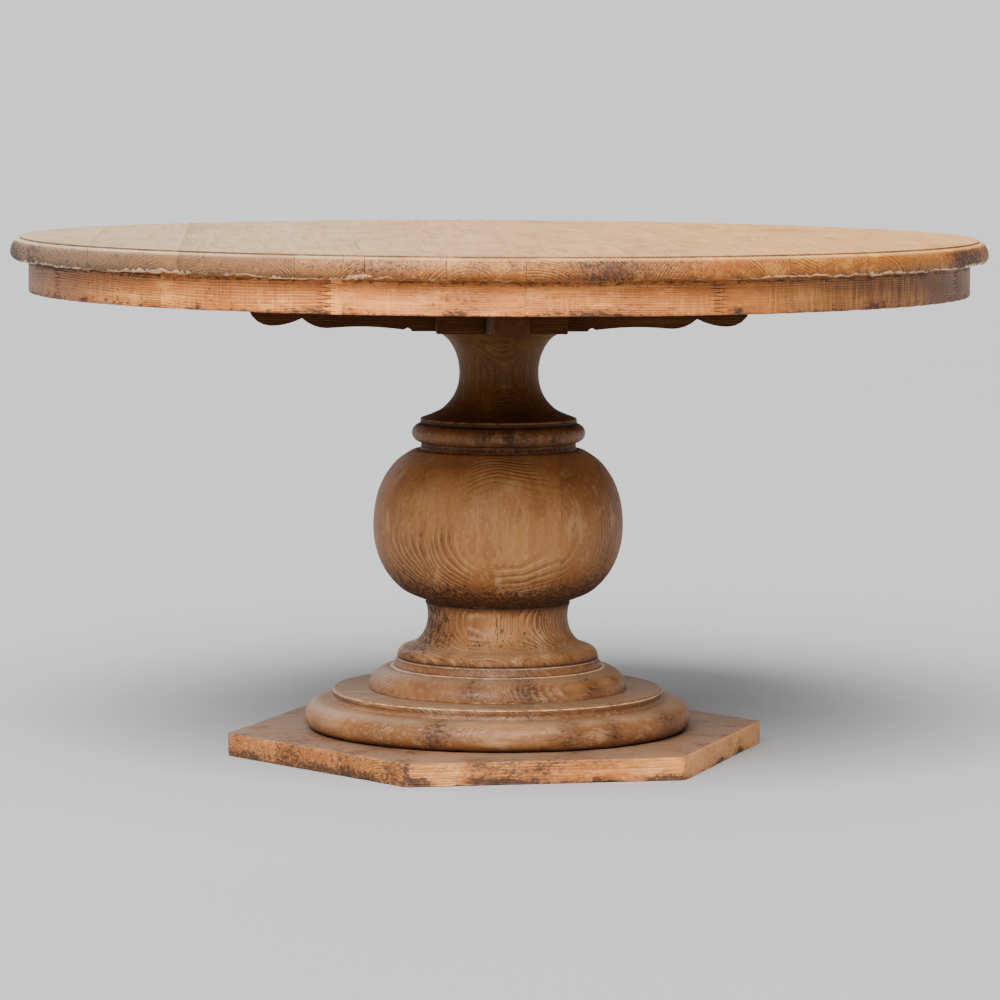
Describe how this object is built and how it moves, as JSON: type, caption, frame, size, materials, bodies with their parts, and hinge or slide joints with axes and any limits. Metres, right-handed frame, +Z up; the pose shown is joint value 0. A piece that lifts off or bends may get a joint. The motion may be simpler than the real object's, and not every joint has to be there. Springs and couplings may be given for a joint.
{
  "type": "round pedestal table",
  "caption": "Round dining table with a moulded plank top, curved apron, scalloped cross arms and a turned bulbous column on stepped rings and a hexagonal plinth.",
  "frame": {"origin": "on the floor, under the middle of the round top and on the column's axis", "axes": "+Z up; the top's planks and the front cross arm run along Y, with the front at -Y and +X to the right"},
  "size_m": [1.47, 1.47, 0.78],
  "materials": {
    "top_wood": "worn, waxed",
    "apron_wood": "worn, waxed",
    "under_wood": "dark, unpolished",
    "column_wood": "brushed grain, waxed",
    "base_wood": "worn, waxed",
    "rod_steel": "zinc plated",
    "screw_steel": "dull zinc"
  },
  "bodies": {
    "root": {"apron_segment_01": "apron_wood", "apron_segment_02": "apron_wood", "apron_segment_03": "apron_wood", "apron_segment_04": "apron_wood", "apron_segment_05": "apron_wood", "apron_segment_06": "apron_wood", "apron_segment_07": "apron_wood", "apron_segment_08": "apron_wood", "apron_segment_09": "apron_wood", "apron_segment_10": "apron_wood", "apron_segment_11": "apron_wood", "apron_segment_12": "apron_wood", "apron_segment_13": "apron_wood", "apron_segment_14": "apron_wood", "apron_segment_15": "apron_wood", "apron_segment_16": "apron_wood", "base_disc": "base_wood", "base_ovolo": "base_wood", "base_torus": "base_wood", "bulb": "column_wood", "collar_ring": "column_wood", "column_neck": "column_wood", "cross_arm_front": "under_wood", "cross_arm_side": "under_wood", "cross_screw_front_1": "screw_steel", "cross_screw_front_2": "screw_steel", "cross_screw_front_3": "screw_steel", "cross_screw_front_4": "screw_steel", "cross_screw_side_1": "screw_steel", "cross_screw_side_2": "screw_steel", "cross_screw_side_3": "screw_steel", "cross_screw_side_4": "screw_steel", "head_block_back_left": "under_wood", "head_block_back_right": "under_wood", "head_block_front_left": "under_wood", "head_block_front_right": "under_wood", "lower_neck": "column_wood", "plinth_plank_1": "base_wood", "plinth_plank_2": "base_wood", "plinth_plank_3": "base_wood", "plinth_plank_4": "base_wood", "plinth_plank_5": "base_wood", "tie_rod": "rod_steel", "tie_rod_nut_foot": "rod_steel", "tie_rod_nut_top": "rod_steel", "tie_rod_washer_foot": "rod_steel", "tie_rod_washer_top": "rod_steel", "top_plank_01": "top_wood", "top_plank_02": "top_wood", "top_plank_03": "top_wood", "top_plank_04": "top_wood", "top_plank_05": "top_wood", "top_plank_06": "top_wood", "top_plank_07": "top_wood", "top_plank_08": "top_wood", "top_plank_09": "top_wood", "top_plank_10": "top_wood", "top_plank_11": "top_wood", "top_plank_12": "top_wood"}
  },
  "joints": []
}
